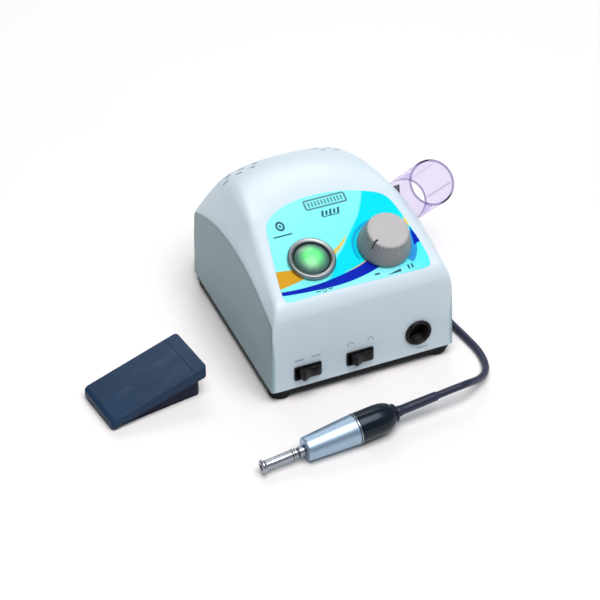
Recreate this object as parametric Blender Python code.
"""Table-top dental micromotor set: control box, motor handpiece with its cord, and foot pedal.

Metres, +Z up. The origin is on the surface the set stands on, at the middle of the set.
The control box faces -Y. Each group of pieces hangs on an empty that carries its own frame.
"""
import math

import bmesh
import bpy
from mathutils import Euler, Vector

MM = 0.001
GAP = 0.3 * MM

# Control box
BOX_AT = Vector((38.8, 30.2, 0.0)) * MM
WIDTH = 141.0 * MM
DEPTH = 154.0 * MM
WALL = 2.5 * MM
FOOT_HEIGHT = 5.0 * MM
SHELL_BOTTOM = 9.5 * MM
SIDE_DRAFT = 0.03
FRONT_LEAN = math.radians(3.0)
PANEL_TILT = math.radians(19.8)
PANEL_LOW = Vector((-65.7, 70.8)) * MM
PANEL_END_Y = 0.0
REAR_TOP = 88.0 * MM
CROWN_ROUND = 2.35
CROWN_SHOULDER = 900.0
SIDE_CREST = 75.0 * MM
SIDE_REAR = 53.7 * MM
TOP_HALF_MID = 54.5 * MM
TOP_TAPER = 0.118
BROW_ROUND = 9.0 * MM
SHOULDER_ROUND = 6.0 * MM
SIDE_BLEND = 7.0 * MM
SIDE_CREASE = 2.0 * MM

# Controls
BUTTON_X, BUTTON_S = -25.5 * MM, 25.7 * MM
BEZEL_R = 17.15 * MM
BUTTON_R = 12.8 * MM
BUTTON_TRAVEL = 3.0 * MM
BUTTON_HOLE_R = 15.0 * MM
KNOB_X, KNOB_S = 28.3 * MM, 22.5 * MM
KNOB_BASE_R = 19.2 * MM
KNOB_TOP_R = 14.7 * MM
KNOB_HEIGHT = 18.7 * MM
BUSH_HOLE_R = 4.4 * MM
ROCKER_X = {"mode": -43.2 * MM, "direction": -3.2 * MM}
ROCKER_Z = 12.4 * MM
ROCKER_TILT = math.radians(13.0)
ROCKER_PIVOT = -4.0 * MM
JACK_X, JACK_Z, JACK_R = 42.3 * MM, 18.9 * MM, 10.1 * MM
INLET_X, INLET_Z = 30.0 * MM, 26.0 * MM
FUSE_X = -6.0 * MM
PEDAL_JACK_X = -38.0 * MM
CORNER_X, CORNER_Y = 61.0 * MM, 67.0 * MM
SCREW_HOLE_R = 1.8 * MM
BOARD_LOW = 14.3 * MM
BOARD_TOP = 15.9 * MM

# Handpiece holder on the right-hand wall
HOLDER_MOUTH = Vector((94.0, 12.0, 86.7)) * MM
HOLDER_AXIS = Vector((0.0, -0.69, 0.724)).normalized()
HOLDER_R = 17.3 * MM
HOLDER_WALL = 1.5 * MM
HOLDER_LENGTH = 62.0 * MM
SADDLE_BACK_X = 73.6 * MM

# Motor handpiece, lying on the surface on its tapered body
TIP_AT = Vector((-104.5, -139.6, 7.0)) * MM
HAND_HEADING = math.radians(4.5)
HAND_RISE = math.radians(3.3)
NOSE = 33.0 * MM
BODY_END = 72.0 * MM
CAP_END = 104.0 * MM
RELIEF_END = 137.0 * MM
BODY_FRONT_R, BODY_REAR_R = 8.7 * MM, 10.9 * MM

# Motor cord
CORD_D = 5.2 * MM
COIL_CENTRE = Vector((50.0, 131.0)) * MM
COIL_R = 28.0 * MM
COIL_TRACKS = 3
COIL_LAYERS = 2

# Foot pedal
PEDAL_AT = Vector((-186.0, -38.4, 0.0)) * MM
PEDAL_HEADING = math.radians(8.8)
PEDAL_LENGTH = 76.0 * MM
PEDAL_HALF = 22.0 * MM
PEDAL_THIN, PEDAL_THICK = 8.5 * MM, 26.0 * MM
PEDAL_PIN = Vector((7.0, 0.0, 4.0)) * MM


# ---------------------------------------------------------------- scene helpers

def clear_scene():
    for obj in list(bpy.data.objects):
        bpy.data.objects.remove(obj, do_unlink=True)


def material(name, colour, roughness, metallic=0.0, alpha=1.0):
    mat = bpy.data.materials.new(name)
    mat.use_nodes = True
    shader = mat.node_tree.nodes["Principled BSDF"]
    shader.inputs["Base Color"].default_value = (*colour, 1.0)
    shader.inputs["Roughness"].default_value = roughness
    shader.inputs["Metallic"].default_value = metallic
    shader.inputs["Alpha"].default_value = alpha
    return mat


def empty(name, parent=None, location=(0, 0, 0), rotation=None):
    obj = bpy.data.objects.new(name, None)
    bpy.context.collection.objects.link(obj)
    obj.parent = parent
    obj.location = location
    if rotation is not None:
        obj.rotation_euler = rotation
    return obj


def make(name, bm, parent=None, mat=None, location=(0, 0, 0), rotation=None, guide=False):
    bmesh.ops.remove_doubles(bm, verts=bm.verts, dist=1e-7)
    bmesh.ops.recalc_face_normals(bm, faces=bm.faces)
    mesh = bpy.data.meshes.new(name)
    bm.to_mesh(mesh)
    bm.free()
    mesh.shade_smooth()
    mesh.set_sharp_from_angle(angle=math.radians(35))
    obj = bpy.data.objects.new(name, mesh)
    bpy.context.collection.objects.link(obj)
    obj.parent = parent
    obj.location = location
    if rotation is not None:
        obj.rotation_euler = rotation
    if mat is not None:
        mesh.materials.append(mat)
    if guide:
        obj.hide_render = True
        obj.display_type = "WIRE"
    return obj


def boolean(target, tool, operation="DIFFERENCE"):
    mod = target.modifiers.new(tool.name, "BOOLEAN")
    mod.operation = operation
    mod.solver = "EXACT"
    mod.object = tool


# ---------------------------------------------------------------- shape helpers

def circle(radius, steps):
    return [(radius * math.cos(2 * math.pi * i / steps), radius * math.sin(2 * math.pi * i / steps))
            for i in range(steps)]


def rounded_rect(width, depth, radius, corner_steps=4):
    points = []
    for quarter, (sx, sy) in enumerate([(1, 1), (-1, 1), (-1, -1), (1, -1)]):
        cx = sx * (width / 2 - radius)
        cy = sy * (depth / 2 - radius)
        for i in range(corner_steps + 1):
            angle = math.pi / 2 * (quarter + i / corner_steps)
            points.append((cx + radius * math.cos(angle), cy + radius * math.sin(angle)))
    return points


def ring_at(outline, z):
    height = z if callable(z) else (lambda x: z)
    return [Vector((x, y, height(x))) for x, y in outline]


def loft(rings, closed=False):
    """A skin over rings of equal size. Open ends are capped; a closed one joins last ring to first."""
    bm = bmesh.new()
    rows = [[bm.verts.new(p) for p in ring] for ring in rings]
    pairs = list(zip(rows, rows[1:]))
    if closed:
        pairs.append((rows[-1], rows[0]))
    for low, high in pairs:
        for i in range(len(low)):
            j = (i + 1) % len(low)
            bm.faces.new((low[i], low[j], high[j], high[i]))
    if not closed:
        bm.faces.new(list(reversed(rows[0])))
        bm.faces.new(rows[-1])
    return bm


def turned(profile, steps=24, closed=False):
    """A solid of revolution about Z from (radius, z) points."""
    return loft([ring_at(circle(r, steps), z) for r, z in profile], closed)


def prism(outline, low, high):
    return loft([ring_at(outline, low), ring_at(outline, high)])


def block(sx, sy, low, high):
    return prism([(-sx / 2, -sy / 2), (sx / 2, -sy / 2), (sx / 2, sy / 2), (-sx / 2, sy / 2)], low, high)


def shifted(bm, offset):
    bmesh.ops.translate(bm, verts=bm.verts, vec=Vector(offset))
    return bm


def merged(parts):
    """Several closed bodies in one mesh, for use as one cutter or one union tool."""
    out = bmesh.new()
    for part in parts:
        mesh = bpy.data.meshes.new("part")
        part.to_mesh(mesh)
        part.free()
        out.from_mesh(mesh)
        bpy.data.meshes.remove(mesh)
    return out


def arc(cx, cy, radius, start, end, steps):
    return [(cx + radius * math.cos(math.radians(start + (end - start) * i / steps)),
             cy + radius * math.sin(math.radians(start + (end - start) * i / steps)))
            for i in range(steps + 1)]


def mm(*points):
    return [tuple(v * MM for v in p) for p in points]


# ---------------------------------------------------------------- upper shell

def top_height(x, y):
    """The crowned top: a flat tilted panel in front, then an arc down to the rear edge."""
    slope = math.tan(PANEL_TILT)
    z = PANEL_LOW.y + slope * (y - PANEL_LOW.x)
    past = max(0.0, y - PANEL_END_Y)
    reach = DEPTH / 2 - PANEL_END_Y
    fall = PANEL_LOW.y + slope * (DEPTH / 2 - PANEL_LOW.x) - REAR_TOP
    z -= fall * (past / reach) ** 2
    blend = min(1.0, past / reach)
    return z - blend * (2 - blend) * (CROWN_ROUND * x ** 2 + CROWN_SHOULDER * x ** 4)


def shell_depth(x, y, z, inset):
    """Signed measure of a point against the rounded body: 0 on its surface, positive outside."""
    half_w, half_d = WIDTH / 2, DEPTH / 2
    side_z = SIDE_CREST - (SIDE_CREST - SIDE_REAR) * (y / half_d) ** 2
    side_x = half_w - SIDE_DRAFT * side_z
    top_x = TOP_HALF_MID - TOP_TAPER * y + 0.25 * y * y
    top_z = top_height(top_x, y)
    nx, nz = top_z - side_z, side_x - top_x
    norm = math.hypot(nx, nz)
    side = abs(x) - half_w + SIDE_DRAFT * z + inset
    front = -(y + half_d) + math.tan(FRONT_LEAN) * z + inset
    rear = y - half_d + inset
    top = (z - top_height(x, y)) * math.cos(PANEL_TILT) + inset
    slope = ((abs(x) - side_x) * nx + (z - side_z) * nz) / norm + inset
    cap = rounded_join(((front, BROW_ROUND), (rear, BROW_ROUND), (top, BROW_ROUND))) * BROW_ROUND
    cap = rounded_join(((cap, SHOULDER_ROUND), (slope, SHOULDER_ROUND))) * SHOULDER_ROUND
    return rounded_join(((cap, SIDE_CREASE), (side, SIDE_BLEND)))


def rounded_join(faces):
    """The rounded meeting of (distance, radius) faces: 0 on the surface, -1 deep inside."""
    return math.sqrt(sum(max(0.0, 1.0 + distance / radius) ** 2 for distance, radius in faces)) - 1.0


def on_shell(x, y, z, inset, spine=40.0 * MM):
    """Moves a point of the guide box along its ray from the middle onto the body's surface."""
    base = min(z, spine)
    low, high = 0.3, 1.4
    for _ in range(30):
        mid = (low + high) / 2
        if shell_depth(x * mid, y * mid, base + (z - base) * mid, inset) > 0:
            high = mid
        else:
            low = mid
    return Vector((x * low, y * low, base + (z - base) * low))


def shell_skin(bm, xs, ys, zs, inset):
    """Five sides of a guide box, drawn onto the body. Returns the lowest ring of vertices."""
    loop = [(x, ys[0]) for x in xs[:-1]] + [(xs[-1], y) for y in ys[:-1]]
    loop += [(x, ys[-1]) for x in reversed(xs[1:])] + [(xs[0], y) for y in reversed(ys[1:])]
    rows = [[bm.verts.new(on_shell(x, y, z, inset)) for x, y in loop] for z in zs]
    count = len(loop)
    for low, high in zip(rows, rows[1:]):
        for i in range(count):
            bm.faces.new((low[i], low[(i + 1) % count], high[(i + 1) % count], high[i]))
    rim = {loop[i]: rows[-1][i] for i in range(count)}
    grid = [[rim.get((x, y)) or bm.verts.new(on_shell(x, y, zs[-1], inset)) for x in xs] for y in ys]
    for j in range(len(ys) - 1):
        for i in range(len(xs) - 1):
            bm.faces.new((grid[j][i], grid[j][i + 1], grid[j + 1][i + 1], grid[j + 1][i]))
    return rows[0]


def build_shell(frame, panel, front, rear, mats):
    steps_x = [0, 16, 31, 43, 51, 57, 62, 66.5, 70.5]
    xs = [-v * MM for v in reversed(steps_x[1:])] + [v * MM for v in steps_x]
    ys = [v * MM for v in (-77, -75.5, -73, -69, -62, -45, -25, -8, 5, 18, 32, 47, 60, 68, 73, 77)]
    outer_z = [v * MM for v in (0, 30, 44, 54, 61, 67, 72, 76.5, 81, 85)]
    inner_z = [v * MM for v in (0, 44, 60, 72, 85)]
    bm = bmesh.new()
    outer = shell_skin(bm, xs, ys, outer_z, 0.0)
    inner = shell_skin(bm, xs, ys, inner_z, WALL)
    for i in range(len(outer)):
        j = (i + 1) % len(outer)
        bm.faces.new((outer[j], outer[i], inner[i], inner[j]))
    shell = make("upper_shell", bm, frame, mats["shell"], (0, 0, SHELL_BOTTOM))

    posts = []
    for sx in (-1, 1):
        for sy in (-1, 1):
            outline = arc(0, 0, 4.0, 20, 340, 10) + [(9.2, -1.2), (9.2, 1.2)]
            outline = [(sx * CORNER_X + sx * x * MM, sy * CORNER_Y + y * MM) for x, y in outline]
            posts.append(prism(outline, 14 * MM, 40 * MM))
    boolean(shell, make("shell_posts", merged(posts), frame, guide=True), "UNION")

    pilot = [(SCREW_HOLE_R, 12 * MM), (SCREW_HOLE_R, 36 * MM)]
    pilots = [shifted(turned(pilot, 12), (sx * CORNER_X, sy * CORNER_Y, 0))
              for sx in (-1, 1) for sy in (-1, 1)]
    boolean(shell, make("post_holes", merged(pilots), frame, guide=True))

    through = (-9 * MM, 6 * MM)
    panel_cut = merged([
        shifted(turned([(BUTTON_HOLE_R, z) for z in through], 32), (BUTTON_X, BUTTON_S, 0)),
        shifted(turned([(BUSH_HOLE_R, z) for z in through], 20), (KNOB_X, KNOB_S, 0))])
    boolean(shell, make("panel_holes", panel_cut, panel, guide=True))

    front_cut = [shifted(block(19.8 * MM, 10.6 * MM, *through), (x, ROCKER_Z, 0))
                 for x in ROCKER_X.values()]
    front_cut.append(shifted(turned([(9.0 * MM, z) for z in through], 28), (JACK_X, JACK_Z, 0)))
    boolean(shell, make("front_holes", merged(front_cut), front, guide=True))

    rear_cut = merged([
        shifted(block(27.8 * MM, 20.8 * MM, *through), (INLET_X, INLET_Z, 0)),
        shifted(turned([(6.4 * MM, z) for z in through], 20), (FUSE_X, INLET_Z, 0)),
        shifted(turned([(5.0 * MM, z) for z in through], 20), (PEDAL_JACK_X, INLET_Z, 0))])
    boolean(shell, make("rear_holes", rear_cut, rear, guide=True))

    slots = []
    for side in (-1, 1):
        for y, offset in ((60.5 * MM, 4.0 * MM), (66.5 * MM, 0.0)):
            for i in range(3):
                x = side * (24.0 * MM + 10.5 * MM * i + offset)
                z = SHELL_BOTTOM + top_height(x, y)
                slots.append(shifted(block(4.4 * MM, 2.2 * MM, -7 * MM, 7 * MM), (x, y, z)))
    boolean(shell, make("vent_slots", merged(slots), frame, guide=True))


# ---------------------------------------------------------------- base, feet and screws

def build_base(frame, mats):
    def rim(inset):
        return rounded_rect(WIDTH - 2 * inset, DEPTH - 2 * inset, max(8.0 * MM - inset, 3.0 * MM))
    low = FOOT_HEIGHT
    rings = [ring_at(rim(inset * MM), z) for inset, z in (
        (1.2, low), (0.4, low + 0.8 * MM), (0.4, SHELL_BOTTOM - GAP), (3.1, SHELL_BOTTOM - GAP),
        (3.1, 13.0 * MM), (5.1, 13.0 * MM), (5.1, 8.0 * MM))]
    base = make("base_plate", loft(rings), frame, mats["base"])
    corner = mm((4.0, 6.5), (4.0, 13.6))
    standoff = [(3.0 * MM, 6.5 * MM), (3.0 * MM, BOARD_LOW - GAP)]
    stands = [shifted(turned(corner, 16), (sx * CORNER_X, sy * CORNER_Y, 0))
              for sx in (-1, 1) for sy in (-1, 1)]
    stands += [shifted(turned(standoff, 12), (x * MM, y * MM, 0)) for x in (-44, 44) for y in (-50, -6)]
    boolean(base, make("base_stands", merged(stands), frame, guide=True), "UNION")
    through = [(SCREW_HOLE_R, 3 * MM), (SCREW_HOLE_R, 16 * MM)]
    holes = [shifted(turned(through, 12), (sx * CORNER_X, sy * CORNER_Y, 0))
             for sx in (-1, 1) for sy in (-1, 1)]
    boolean(base, make("base_holes", merged(holes), frame, guide=True))

    foot = mm((8.5, 4.7), (8.5, 2.2), (7.6, 0.0), (3.7, 0.0), (3.7, 3.0), (1.8, 3.0), (1.8, 4.7))
    screw = mm((2.4, 1.0), (3.2, 1.5), (3.2, 2.7), (1.5, 2.7), (1.5, 30.0), (0.6, 32.0))
    for depth, sy in (("front", -1), ("rear", 1)):
        for side, sx in (("left", -1), ("right", 1)):
            at = (sx * CORNER_X, sy * CORNER_Y, 0)
            make(f"foot_{depth}_{side}", turned(foot, 16, closed=True), frame, mats["rubber"], at)
            make(f"case_screw_{depth}_{side}", turned(screw, 10), frame, mats["steel"], at)


# ---------------------------------------------------------------- panel controls

def label_outline():
    """The front label: a trapezoid with an arched top, in panel coordinates."""
    side = [(56.0, 1.5), (55.0, 20.0), (52.6, 41.0), (49.0, 54.0)]
    half = arc(52.0, 1.5, 4.0, -60, 0, 3)[:-1] + side
    rise, chord = 14.0, 44.0
    radius = (chord ** 2 + rise ** 2) / (2 * rise)
    lean = math.degrees(math.asin(chord / radius))
    top = arc(0, 78.0 - radius, radius, 90 - lean, 90, 6)
    half += top
    left = [(-x, s) for x, s in reversed(half[:-1])]
    return mm(*(half + left))


def build_panel(panel, mats):
    label = make("label_panel", prism(label_outline(), GAP, 0.9 * MM), panel, mats["label"])
    holes = merged([
        shifted(turned([(BUTTON_HOLE_R, -3 * MM), (BUTTON_HOLE_R, 3 * MM)], 32), (BUTTON_X, BUTTON_S, 0)),
        shifted(turned([(BUSH_HOLE_R, -3 * MM), (BUSH_HOLE_R, 3 * MM)], 20), (KNOB_X, KNOB_S, 0))])
    boolean(label, make("label_holes", holes, panel, guide=True))

    at = (BUTTON_X, BUTTON_S, 0)
    rim = BEZEL_R / MM
    bezel = mm((14.6, -14.0), (14.6, 1.2), (rim, 1.2), (rim, 3.0), (rim - 0.85, 4.0), (14.6, 4.3),
               (13.2, 3.0), (13.2, -14.0))
    make("power_button_bezel", turned(bezel, 32, closed=True), panel, mats["metal_ring"], at)
    radius = 19.0
    dome = [(radius * math.sin(a), 6.2 - radius * (1 - math.cos(a)))
            for a in (math.asin(v / radius) for v in (12.2, 10.5, 8.0, 5.0, 2.0))]
    r = BUTTON_R / MM
    cap = mm((4.0, -11.0), (4.0, -7.5), (r - 2.0, -7.5), (r - 2.0, -8.0), (r, -8.0), (r, 1.4), *dome)
    make("power_button_cap", turned(cap, 28), panel, mats["lit_cap"], at)
    # The well under the plunger is deeper than its travel.
    well = -11.0 - BUTTON_TRAVEL / MM - 2.5
    body = mm((11.0, -32.0), (12.0, -31.0), (12.0, -14.6), (5.0, -14.6), (5.0, well))
    make("power_button_body", turned(body, 24), panel, mats["black_plastic"], at)

    at = (KNOB_X, KNOB_S, 0)
    top = 1.3 + KNOB_HEIGHT / MM
    r, crown = KNOB_BASE_R / MM, KNOB_TOP_R / MM
    knob = mm((3.4, 14.0), (3.4, 5.0), (r - 2.8, 5.0), (r - 2.0, 1.6), (r, 1.6), (r, 4.2),
              (crown + 0.6, top - 1.8), (crown, top - 0.6), (crown - 1.5, top), (6.0, top + 0.4))
    make("speed_knob", turned(knob, 40), panel, mats["knob"], at)
    shaft = mm((2.6, -11.0), (3.0, -10.6), (3.0, 13.2), (2.5, 13.6))
    make("potentiometer_shaft", turned(shaft, 16), panel, mats["steel"], at)
    body = mm((3.4, -11.5), (3.4, 1.2), (4.0, 1.2), (4.0, -9.4), (8.5, -9.4), (8.5, -20.0))
    make("potentiometer", turned(body, 20), panel, mats["steel"], at)


# ---------------------------------------------------------------- front controls

def build_rocker(name, x, front, mats):
    def rect(w, h, z, r=0.8):
        return ring_at(rounded_rect(w * MM, h * MM, r * MM, 2), z * MM)
    housing = loft([
        rect(17.8, 8.8, -12.0), rect(17.8, 8.8, 1.0), rect(18.4, 9.4, 1.3), rect(20.4, 11.2, 1.3),
        rect(20.8, 11.6, 0.9), rect(20.8, 11.6, 0.3), rect(19.2, 10.0, 0.3), rect(19.2, 10.0, -16.0)])
    make(f"{name}_rocker_housing", housing, front, mats["black_plastic"], (x, ROCKER_Z, 0))
    crest = [(8.2, 2.5), (6.9, 8.56), (6.2, 8.7), (0.0, 7.4)]
    outline = mm(*(crest + [(-x, z) for x, z in reversed(crest[:-1])] + [(-6.0, -2.5), (6.0, -2.5)]))
    bm = prism(outline, -4.1 * MM, 4.1 * MM)
    bmesh.ops.rotate(bm, verts=bm.verts, matrix=Euler((math.pi / 2, 0, 0)).to_matrix())
    make(f"{name}_rocker", bm, front, mats["black_plastic"], (x, ROCKER_Z, ROCKER_PIVOT), (0, ROCKER_TILT, 0))


def build_front(front, mats):
    for name, x in ROCKER_X.items():
        build_rocker(name, x, front, mats)
    at = (JACK_X, JACK_Z, 0)
    r = JACK_R / MM
    jack = mm((7.4, -10.0), (7.4, 1.6), (8.2, 2.2), (r - 0.7, 2.2), (r, 1.5), (r, 0.3), (8.6, 0.3),
              (8.6, -15.0))
    make("motor_jack", turned(jack, 24), front, mats["black_plastic"], at)
    face = turned(mm((7.0, -9.6), (7.0, -7.0)), 24)
    insert = make("motor_jack_insert", face, front, mats["black_plastic"], at)
    hole = mm((0.9, -12.0), (0.9, -5.0))
    pins = [shifted(turned(hole, 8), (4.6 * MM * math.cos(a), 4.6 * MM * math.sin(a), 0))
            for a in (math.radians(v) for v in (0, 45, 90, 135, 180))]
    boolean(insert, make("jack_pin_holes", merged(pins), front, None, at, guide=True))


# ---------------------------------------------------------------- rear connectors

def build_rear(rear, mats):
    def rect(w, h, z, r=1.5):
        return ring_at(rounded_rect(w * MM, h * MM, r * MM, 3), z * MM)
    inlet = make("mains_inlet", loft([
        rect(24.2, 16.2, -14.0), rect(24.2, 16.2, 2.3), rect(31.0, 24.0, 2.3), rect(31.0, 24.0, 0.3),
        rect(27.2, 20.2, 0.3), rect(27.2, 20.2, -18.0)]), rear, mats["black_plastic"], (INLET_X, INLET_Z, 0))
    blades = [shifted(block(2.0 * MM, 4.0 * MM, -16 * MM, -3.5 * MM), (x * MM, y * MM, 0))
              for x, y in ((-7, -1.5), (0, 2.5), (7, -1.5))]
    blades = make("inlet_blades", merged(blades), rear, None, (INLET_X, INLET_Z, 0), guide=True)
    boolean(inlet, blades, "UNION")

    at = (FUSE_X, INLET_Z, 0)
    holder = mm((4.6, -18.0), (4.6, 2.0), (8.0, 2.0), (8.0, 0.3), (6.0, 0.3), (6.0, -22.0))
    make("fuse_holder", turned(holder, 20), rear, mats["black_plastic"], at)
    cap = mm((3.6, -15.0), (4.0, -14.5), (4.0, 2.4), (6.8, 2.4), (6.8, 7.4), (6.2, 8.2))
    make("fuse_cap", turned(cap, 20), rear, mats["black_plastic"], at)

    jack = mm((3.3, -17.0), (3.3, 3.4), (6.2, 3.4), (7.0, 2.8), (7.0, 0.3), (4.7, 0.3), (4.7, -20.0))
    make("pedal_jack", turned(jack, 20), rear, mats["steel"], (PEDAL_JACK_X, INLET_Z, 0))


# ---------------------------------------------------------------- inside the box

def build_electronics(frame, mats):
    board = prism(rounded_rect(96 * MM, 56 * MM, 2 * MM, 2), BOARD_LOW, BOARD_TOP)
    make("circuit_board", board, frame, mats["board"], (0, -28 * MM, 0))
    fins = [(-15, 0), (15, 0)]
    for i in range(5):
        x = 15 - 6.6 * i
        fins += [(x, 22), (x - 2.0, 22)]
        if i < 4:
            fins += [(x - 2.0, 4), (x - 6.6, 4)]
    fins[-1] = (-15, 22)
    outline = mm(*fins)
    bm = prism(outline, -9 * MM, 9 * MM)
    bmesh.ops.rotate(bm, verts=bm.verts, matrix=Euler((math.pi / 2, 0, 0)).to_matrix())
    seat = BOARD_TOP + 0.4 * MM
    make("heat_sink", bm, frame, mats["alloy"], (-26 * MM, -24 * MM, seat))
    can = mm((8.0, 0), (8.0, 2.6), (7.4, 3.4), (8.0, 4.2), (8.0, 24.2), (7.4, 25))
    make("smoothing_capacitor", turned(can, 20), frame, mats["black_plastic"], (26 * MM, -30 * MM, seat))

    at = (15 * MM, 28 * MM, 8.4 * MM)
    core = [(-28.5, 0), (28.5, 0), (28.5, 47), (-28.5, 47)]
    bm = prism(mm(*core), -12 * MM, 12 * MM)
    bmesh.ops.rotate(bm, verts=bm.verts, matrix=Euler((math.pi / 2, 0, 0)).to_matrix())
    core = make("transformer_core", bm, frame, mats["iron"], at)
    windows = [shifted(block(9.6 * MM, 40 * MM, 9.5 * MM, 37.5 * MM), (sx * 14.4 * MM, 0, 0))
               for sx in (-1, 1)]
    boolean(core, make("core_windows", merged(windows), frame, None, at, guide=True))
    winding = [ring_at(rounded_rect(w * MM, d * MM, r * MM, 3), z * MM) for w, d, r, z in (
        (37.6, 42.0, 5.0, 10.0), (37.6, 42.0, 5.0, 37.0), (20.2, 24.8, 0.3, 37.0), (20.2, 24.8, 0.3, 10.0))]
    make("transformer_winding", loft(winding, closed=True), frame, mats["copper"], at)


# ---------------------------------------------------------------- handpiece holder

def build_holder(frame, mats):
    centre = HOLDER_MOUTH - HOLDER_AXIS * (HOLDER_LENGTH / 2)
    spin = HOLDER_AXIS.to_track_quat("Z", "X").to_euler()
    pivot = empty("holder_pivot", frame, centre, spin)
    half = HOLDER_LENGTH / 2 / MM
    r = HOLDER_R / MM
    bore = r - HOLDER_WALL / MM
    tube = mm((r, -half), (r, half - 0.6), (r - 0.4, half), (bore + 0.3, half), (bore, half - 0.5),
              (bore, -half))
    make("holder_tube", turned(tube, 32, closed=True), pivot, mats["clear_violet"])

    # The saddle hugs the tube and the peg carries it on the box's right-hand wall.
    back = (SADDLE_BACK_X - HOLDER_MOUTH.x) / MM
    sections = [[Vector(p) * MM for p in ((back, y, -9.0), (back, y, 9.0), (x, y, 9.0), (x, y, -9.0))]
                for x, y in arc(0, 0, r + 0.3, 205, 155, 8)]
    saddle = make("holder_saddle", loft(sections), pivot, mats["black_plastic"])
    saddle.rotation_euler = (0, 0, holder_roll(pivot))
    peg = turned(mm((8.0, 69.8), (8.0, 72.4), (7.4, 73.3)), 24)
    bmesh.ops.rotate(peg, verts=peg.verts, matrix=Euler((0, math.pi / 2, 0)).to_matrix())
    make("holder_peg", peg, frame, mats["black_plastic"], (0, centre.y, centre.z))


def holder_roll(pivot):
    """Turn about the tube's own axis that points the saddle's flat side at the box."""
    local = pivot.rotation_euler.to_matrix().inverted() @ Vector((-1, 0, 0))
    return math.atan2(local.y, local.x) - math.pi


# ---------------------------------------------------------------- motor handpiece

def build_handpiece(hand, mats):
    nose, body, cap = NOSE / MM, BODY_END / MM, CAP_END / MM
    front_r, rear_r = BODY_FRONT_R / MM, BODY_REAR_R / MM
    spigot = mm((2.4, 0.0), (4.3, 0.0), (4.9, 0.5), (4.9, 1.8), (4.4, 2.4), (3.6, 2.8), (3.6, 23.0),
                (3.1, 23.3), (3.1, 24.7), (3.6, 25.0), (3.6, 26.6), (3.1, 26.9), (3.1, 28.3), (3.6, 28.6),
                (3.6, nose - 0.3), (2.4, nose - 0.3))
    make("spigot", turned(spigot, 16, closed=True), hand, mats["chrome"])
    ring = mm((3.4, 23.5), (3.95, 23.6), (3.95, 24.4), (3.4, 24.5))
    make("retaining_ring", turned(ring, 16, closed=True), hand, mats["steel"])
    housing = mm((3.5, nose), (front_r - 1.1, nose), (front_r - 0.3, nose + 0.4), (front_r, nose + 1.4),
                 (rear_r, body - 0.2), (10.0, body - 0.2), (8.0, nose + 8), (3.5, nose + 8))
    make("motor_housing", turned(housing, 28, closed=True), hand, mats["anodised"])
    trim = mm((9.6, body + 0.1), (11.15, body + 0.1), (11.15, body + 1.1), (9.6, body + 1.1))
    make("trim_ring", turned(trim, 28, closed=True), hand, mats["chrome"])
    rear = mm((9.6, body + 1.4), (rear_r, body + 1.4), (rear_r, cap - 14), (10.2, cap - 8.5),
              (8.4, cap - 4.2), (7.2, cap - 3.4), (6.9, cap - 0.6), (6.2, cap), (3.2, cap), (3.2, cap - 3),
              (9.2, cap - 14))
    make("rear_cap", turned(rear, 28, closed=True), hand, mats["black_plastic"])
    end = RELIEF_END / MM
    relief = mm((3.5, cap + 0.3), (3.7, cap + 1.0), (3.7, cap + 3.0), (3.5, cap + 3.5), (3.3, end - 0.8),
                (3.1, end))
    make("strain_relief", turned(relief, 20), hand, mats["cord_rubber"])

    magnet = mm((7.6, 46), (7.6, 66), (5.8, 66), (5.8, 46))
    make("stator_magnet", turned(magnet, 24, closed=True), hand, mats["iron"])
    rotor = mm((1.6, 45), (5.3, 45), (5.3, 67), (1.6, 67))
    make("rotor", turned(rotor, 20, closed=True), hand, mats["copper"])
    shaft = mm((1.0, 9.6), (1.25, 10.0), (1.25, 90), (1.0, 90.4))
    make("motor_shaft", turned(shaft, 12), hand, mats["steel"])
    dog = mm((1.0, 3.0), (1.9, 3.4), (1.9, 9.3), (1.0, 9.3))
    make("drive_dog", turned(dog, 12), hand, mats["steel"])
    for name, at in (("front_bearing", 36.0), ("rear_bearing", 84.0)):
        bearing = mm((1.6, at), (3.15, at), (3.15, at + 3), (1.6, at + 3))
        make(name, turned(bearing, 20, closed=True), hand, mats["steel"])
    brushes = mm((3.5, 76), (8.8, 76), (8.8, 81), (5.6, 81), (5.6, 88.5), (3.5, 88.5))
    make("brush_holder", turned(brushes, 24, closed=True), hand, mats["black_plastic"])


# ---------------------------------------------------------------- motor cord and plug

def smooth_curve(points, spacing):
    """Points at even spacing along a smooth curve through the route's own points."""
    ends = [points[0] * 2 - points[1]] + points + [points[-1] * 2 - points[-2]]
    fine = []
    for i in range(1, len(ends) - 2):
        a, b, c, d = ends[i - 1:i + 3]
        for k in range(24):
            t = k / 24
            fine.append(0.5 * ((2 * b) + (c - a) * t + (2 * a - 5 * b + 4 * c - d) * t * t
                               + (3 * b - a - 3 * c + d) * t ** 3))
    fine.append(points[-1])
    total = sum((q - p).length for p, q in zip(fine, fine[1:]))
    count = max(2, round(total / spacing))
    out, walked, k = [fine[0]], 0.0, 1
    for p, q in zip(fine, fine[1:]):
        step = (q - p).length
        while k < count and walked + step >= total * k / count:
            out.append(p.lerp(q, (total * k / count - walked) / step))
            k += 1
        walked += step
    return out + [fine[-1]]


def tube_curve(name, points, radius, mat, roundness=2):
    data = bpy.data.curves.new(name, "CURVE")
    data.dimensions = "3D"
    data.bevel_depth = radius
    data.bevel_resolution = roundness
    data.use_fill_caps = True
    spline = data.splines.new("POLY")
    spline.points.add(len(points) - 1)
    for slot, p in zip(spline.points, points):
        slot.co = (*p, 1.0)
    data.materials.append(mat)
    obj = bpy.data.objects.new(name, data)
    bpy.context.collection.objects.link(obj)
    return obj


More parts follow.
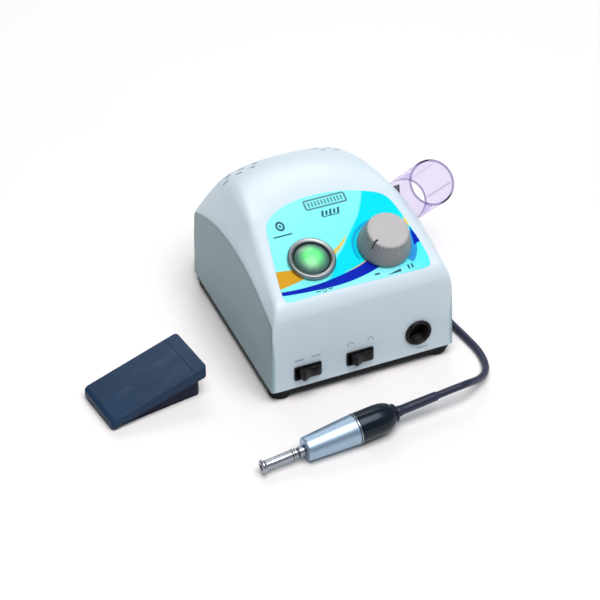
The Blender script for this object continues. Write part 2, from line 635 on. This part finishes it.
def build_cord(hand, mats):
    bpy.context.view_layer.update()
    axis = (hand.matrix_world.to_3x3() @ Vector((0, 0, 1))).normalized()
    start = hand.matrix_world @ Vector((0, 0, RELIEF_END + GAP))
    rest = CORD_D / 2 + GAP
    route = [start, start + axis * 12 * MM, start + axis * 24 * MM + Vector((0, 0.6, -0.9)) * MM]
    floor_route = mm((70.0, -119.0, 9.3), (79.5, -110.5, 5.6), (85.5, -99.0), (87.5, -85.0), (86.0, -68.0),
                     (83.5, -50.0), (82.0, -30.0), (81.2, -8.0), (81.2, 15.0), (82.0, 38.0), (83.6, 60.0),
                     (85.2, 80.0), (86.3, 98.0), (87.3, 118.0))
    for p in floor_route:
        route.append(Vector((p[0], p[1], p[2] if len(p) == 3 else rest)) + BOX_AT)
    tube_curve("motor_cord", smooth_curve(route, 13 * MM), CORD_D / 2, mats["cord_rubber"])

    centre = Vector((*COIL_CENTRE, 0)) + BOX_AT
    half = COIL_TRACKS * CORD_D / 2
    chamfer = 1.2 * MM
    low_r, high_r, height = COIL_R - half, COIL_R + half, COIL_LAYERS * CORD_D
    profile = [(high_r, chamfer), (high_r, height - chamfer), (high_r - chamfer, height),
               (low_r + chamfer, height), (low_r, height - chamfer), (low_r, chamfer),
               (low_r + chamfer, 0), (high_r - chamfer, 0)]
    make("motor_cord_coil", turned(profile, 28, closed=True), None, mats["cord_rubber"], centre)

    tail = mm((10.6, 126.0, 2.9), (9.4, 119.0, 2.9), (5.6, 111.0, 3.2), (-1.0, 104.6, 4.6),
              (-9.0, 100.6, 6.6), (-17.0, 98.8, 7.3))
    tail = [Vector(p) + BOX_AT for p in tail]
    tube_curve("motor_cord_tail", smooth_curve(tail, 11 * MM), CORD_D / 2, mats["cord_rubber"])
    along = (tail[-1] - tail[-2]).to_2d().normalized().to_3d()
    plug = empty("plug_frame", None, tail[-1] + along * 2 * GAP, along.to_track_quat("Z", "Y").to_euler())
    grip = mm((3.3, 0.0), (3.5, 0.6), (4.4, 12.0), (5.6, 12.8), (6.8, 15.4), (7.0, 20.0), (7.0, 32.0),
              (6.6, 33.0), (6.6, 34.6))
    make("motor_plug_grip", turned(grip, 20), plug, mats["black_plastic"])
    sleeve = mm((6.5, 34.9), (6.5, 44.0), (6.2, 44.4), (5.6, 44.4), (5.6, 37.0), (5.0, 34.9))
    make("motor_plug_sleeve", turned(sleeve, 20, closed=True), plug, mats["steel"])
    core = make("motor_plug_pins", turned(mm((4.6, 35.2), (4.6, 37.6)), 16), plug, mats["black_plastic"])
    rod = mm((0.6, 36.5), (0.6, 42.5))
    pins = [shifted(turned(rod, 8), (3.2 * MM * math.cos(a), 3.2 * MM * math.sin(a), 0))
            for a in (math.radians(v) for v in (0, 45, 90, 135, 180))]
    boolean(core, make("plug_pin_rods", merged(pins), plug, guide=True), "UNION")


# ---------------------------------------------------------------- foot pedal

def cover_top(x):
    return PEDAL_THIN + (PEDAL_THICK - PEDAL_THIN) * x / PEDAL_LENGTH


def skirt_low(x):
    return 1.4 * MM + 14.6 * MM * x / PEDAL_LENGTH


def base_top(x):
    return 6.2 * MM + 10.8 * MM * x / PEDAL_LENGTH


def build_pedal(pedal, mats):
    def outline(x0, x1, half, radius=3.0):
        pts = rounded_rect(x1 - x0, 2 * half, radius * MM, 3)
        return [(x + (x0 + x1) / 2, y) for x, y in pts]
    x0, x1, half = 2.8 * MM, PEDAL_LENGTH - 5.0 * MM, PEDAL_HALF - 2.6 * MM
    inner = outline(x0 + 2 * MM, x1 - 2 * MM, half - 2 * MM, 1.5)
    base = make("pedal_base", loft([
        ring_at(outline(x0 + 0.6 * MM, x1 - 0.6 * MM, half - 0.6 * MM), 0.0),
        ring_at(outline(x0, x1, half), 0.8 * MM), ring_at(outline(x0, x1, half), base_top),
        ring_at(inner, base_top), ring_at(inner, 2.4 * MM)]), pedal, mats["pedal_base"])
    pin_hole = turned([(1.5 * MM, -30 * MM), (1.5 * MM, 30 * MM)], 16)
    bmesh.ops.rotate(pin_hole, verts=pin_hole.verts, matrix=Euler((math.pi / 2, 0, 0)).to_matrix())
    hole = make("pedal_pin_hole", pin_hole, pedal, None, PEDAL_PIN, guide=True)
    boolean(base, hole)
    gland_hole = turned([(2.9 * MM, -5 * MM), (2.9 * MM, 5 * MM)], 16)
    bmesh.ops.rotate(gland_hole, verts=gland_hole.verts, matrix=Euler((0, math.pi / 2, 0)).to_matrix())
    boolean(base, make("pedal_gland_hole", gland_hole, pedal, None, (x1, 0, 5.6 * MM), guide=True))

    wall = 1.8 * MM
    inside = outline(wall, PEDAL_LENGTH - wall, PEDAL_HALF - wall, 2.0)
    bevel = outline(2.6 * MM, PEDAL_LENGTH - 0.9 * MM, PEDAL_HALF - 0.9 * MM)
    bevel_low = outline(0, PEDAL_LENGTH, PEDAL_HALF)
    cover = make("pedal_cover", loft([
        ring_at(inside, lambda x: cover_top(x) - 2.0 * MM), ring_at(inside, skirt_low),
        ring_at(bevel_low, skirt_low), ring_at(bevel_low, lambda x: cover_top(x) - 1.0 * MM),
        ring_at(bevel, cover_top)]), pedal, mats["pedal_top"])
    boolean(cover, hole)

    pin = turned([(1.1 * MM, -21.7 * MM), (1.1 * MM, 21.7 * MM)], 12)
    bmesh.ops.rotate(pin, verts=pin.verts, matrix=Euler((math.pi / 2, 0, 0)).to_matrix())
    make("pedal_hinge_pin", pin, pedal, mats["steel"], PEDAL_PIN)
    gland = turned(mm((2.6, -3.5), (2.6, 0.2), (4.2, 0.3), (4.2, 2.2), (3.4, 4.2), (2.4, 4.4)), 16)
    bmesh.ops.rotate(gland, verts=gland.verts, matrix=Euler((0, math.pi / 2, 0)).to_matrix())
    make("pedal_cord_gland", gland, pedal, mats["cord_rubber"], (x1 + GAP, 0, 5.6 * MM))
    make("pedal_microswitch", block(20 * MM, 6.4 * MM, 2.7 * MM, 13.0 * MM), pedal, mats["black_plastic"],
         (56 * MM, -9 * MM, 0))
    build_spring(pedal, mats)


def build_spring(pedal, mats):
    at = Vector((42.0, 6.0)) * MM
    low, high = 3.4 * MM, cover_top(at.x) - 2.0 * MM - 1.2 * MM
    turns, radius, wire, steps = 4, 4.5 * MM, 0.45 * MM, 9
    points = []
    for i in range(turns * steps + 1):
        angle = 2 * math.pi * i / steps
        z = low + (high - low) * i / (turns * steps)
        points.append(Vector((at.x + radius * math.cos(angle), at.y + radius * math.sin(angle), z)))
    spring = tube_curve("pedal_spring", points, wire, mats["steel"], 1)
    spring.parent = pedal


# ---------------------------------------------------------------- assembly

def main():
    clear_scene()
    mats = {
        "shell": material("shell", (0.82, 0.86, 0.89), 0.38),
        "base": material("base", (0.02, 0.02, 0.022), 0.5),
        "rubber": material("rubber", (0.015, 0.015, 0.016), 0.8),
        "label": material("label", (0.25, 0.85, 0.92), 0.35),
        "metal_ring": material("metal_ring", (0.45, 0.47, 0.47), 0.3, 0.8),
        "lit_cap": material("lit_cap", (0.25, 0.75, 0.32), 0.3),
        "knob": material("knob", (0.55, 0.54, 0.53), 0.45),
        "black_plastic": material("black_plastic", (0.015, 0.015, 0.018), 0.4),
        "steel": material("steel", (0.6, 0.6, 0.6), 0.3, 1.0),
        "iron": material("iron", (0.25, 0.25, 0.26), 0.5, 1.0),
        "copper": material("copper", (0.6, 0.3, 0.15), 0.4, 1.0),
        "board": material("board", (0.02, 0.2, 0.08), 0.5),
        "alloy": material("alloy", (0.7, 0.72, 0.74), 0.35, 1.0),
        "anodised": material("anodised", (0.55, 0.68, 0.75), 0.3, 0.9),
        "chrome": material("chrome", (0.85, 0.87, 0.88), 0.1, 1.0),
        "clear_violet": material("clear_violet", (0.75, 0.65, 0.9), 0.1, 0.0, 0.4),
        "cord_rubber": material("cord_rubber", (0.02, 0.025, 0.05), 0.5),
        "pedal_top": material("pedal_top", (0.03, 0.06, 0.1), 0.45),
        "pedal_base": material("pedal_base", (0.015, 0.02, 0.05), 0.45),
    }
    box = empty("box_frame", None, BOX_AT)
    panel = empty("panel_frame", box, (0, PANEL_LOW.x, PANEL_LOW.y + SHELL_BOTTOM), (PANEL_TILT, 0, 0))
    front = empty("front_frame", box, (0, -DEPTH / 2, SHELL_BOTTOM), (math.pi / 2 - FRONT_LEAN, 0, 0))
    rear = empty("rear_frame", box, (0, DEPTH / 2, SHELL_BOTTOM), (math.pi / 2, 0, math.pi))
    build_shell(box, panel, front, rear, mats)
    build_base(box, mats)
    build_panel(panel, mats)
    build_front(front, mats)
    build_rear(rear, mats)
    build_electronics(box, mats)
    build_holder(box, mats)

    level = math.cos(HAND_RISE)
    aim = Vector((math.cos(HAND_HEADING) * level, math.sin(HAND_HEADING) * level, math.sin(HAND_RISE)))
    hand = empty("handpiece_frame", None, TIP_AT + BOX_AT, aim.to_track_quat("Z", "Y").to_euler())
    build_handpiece(hand, mats)
    build_cord(hand, mats)
    build_pedal(empty("pedal_frame", None, PEDAL_AT + BOX_AT, (0, 0, PEDAL_HEADING)), mats)


main()
